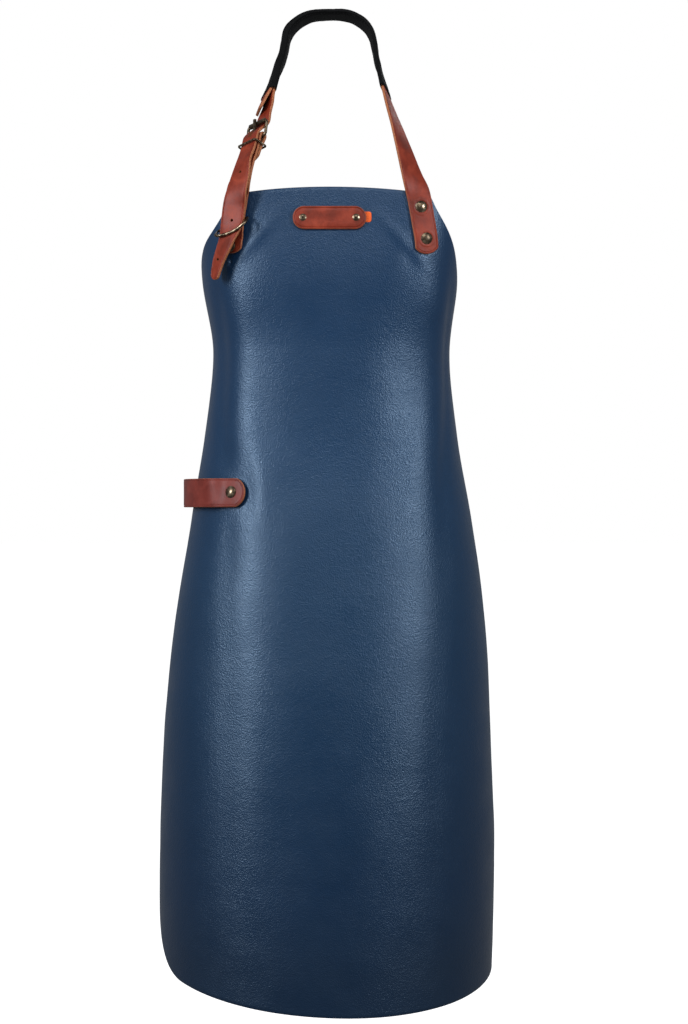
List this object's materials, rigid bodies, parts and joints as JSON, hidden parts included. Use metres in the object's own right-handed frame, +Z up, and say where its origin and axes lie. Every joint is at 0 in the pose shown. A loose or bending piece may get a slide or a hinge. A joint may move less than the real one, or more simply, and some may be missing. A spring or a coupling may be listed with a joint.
{
  "type": "leather bib apron",
  "caption": "Leather bib apron hanging in its worn shape, with a padded neck loop, roller buckles, a towel loop with a press stud, and a waist strap.",
  "frame": {"origin": "neck rest: the middle of the underside of the neck sleeve, at the top of the neck loop", "axes": "+Z up, the front of the apron faces -Y, +X to the right in the front view"},
  "size_m": [0.3577, 0.2675, 1.0512],
  "materials": {
    "blue_leather": "satin",
    "brown_leather": "satin",
    "black_suede": "matte",
    "orange_ribbon": "matte",
    "antique_brass": "polished"
  },
  "bodies": {
    "apron": {"apron_panel": "blue_leather", "label_plate": "brown_leather", "label_rivets": "antique_brass", "woven_tab": "orange_ribbon", "neck_strap": "brown_leather", "adjusting_strap": "brown_leather", "buckle_strap": "brown_leather", "neck_sleeve": "black_suede", "splice_rivets": "antique_brass", "neck_buckle_frame": "antique_brass", "neck_strap_rivets": "antique_brass", "buckle_strap_rivets": "antique_brass", "fold_rivet": "antique_brass", "towel_loop_base": "brown_leather", "towel_loop_rivet": "antique_brass", "snap_stud": "antique_brass", "waist_strap_left": "brown_leather", "waist_strap_right": "brown_leather", "waist_rivets": "antique_brass", "waist_fold_rivet": "antique_brass", "waist_buckle_frame": "antique_brass"},
    "neck_prong": {"neck_buckle_prong": "antique_brass"},
    "neck_roller": {"neck_buckle_roller": "antique_brass"},
    "upper_keeper": {"upper_keeper": "antique_brass"},
    "lower_ring": {"lower_ring": "antique_brass"},
    "towel_loop": {"towel_loop_flap": "brown_leather", "snap_cap": "antique_brass"},
    "waist_prong": {"waist_buckle_prong": "antique_brass"},
    "waist_roller": {"waist_buckle_roller": "antique_brass"},
    "waist_keeper": {"waist_keeper": "antique_brass"}
  },
  "joints": [
    {"name": "neck_prong_swing", "type": "hinge", "parent": "apron", "child": "neck_prong", "pos_m": [-0.0765, -0.072, -0.14], "axis": [0.6318, -0.7529, 0.1844], "range_deg": [0, 60]},
    {"name": "neck_roller_spin", "type": "hinge", "parent": "apron", "child": "neck_roller", "pos_m": [-0.07498, -0.06669, -0.12355], "axis": [-0.6318, 0.7529, -0.1844], "continuous": true},
    {"name": "upper_keeper_slide", "type": "slide", "parent": "apron", "child": "upper_keeper", "axis": [0.2412, 0.417, 0.8763], "range_m": [-0.005, 0.005]},
    {"name": "waist_prong_swing", "type": "hinge", "parent": "apron", "child": "waist_prong", "pos_m": [-0.008, 0.111, -0.44], "axis": [0, 0, 1], "range_deg": [0, 60]},
    {"name": "waist_roller_spin", "type": "hinge", "parent": "apron", "child": "waist_roller", "pos_m": [0.009, 0.1145, -0.44], "axis": [0, 0, -1], "continuous": true},
    {"name": "waist_keeper_slide", "type": "slide", "parent": "apron", "child": "waist_keeper", "axis": [1, 0, 0], "range_m": [-0.005, 0.005]},
    {"name": "lower_ring_swing", "type": "hinge", "parent": "apron", "child": "lower_ring", "pos_m": [-0.0994, -0.08567, -0.23], "axis": [-0.8518, 0.3969, -0.342], "range_deg": [0, 25]},
    {"name": "towel_loop_open", "type": "hinge", "parent": "apron", "child": "towel_loop", "pos_m": [-0.14393, 0.04156, -0.509], "axis": [0, 0, -1], "range_deg": [0, 70]}
  ]
}
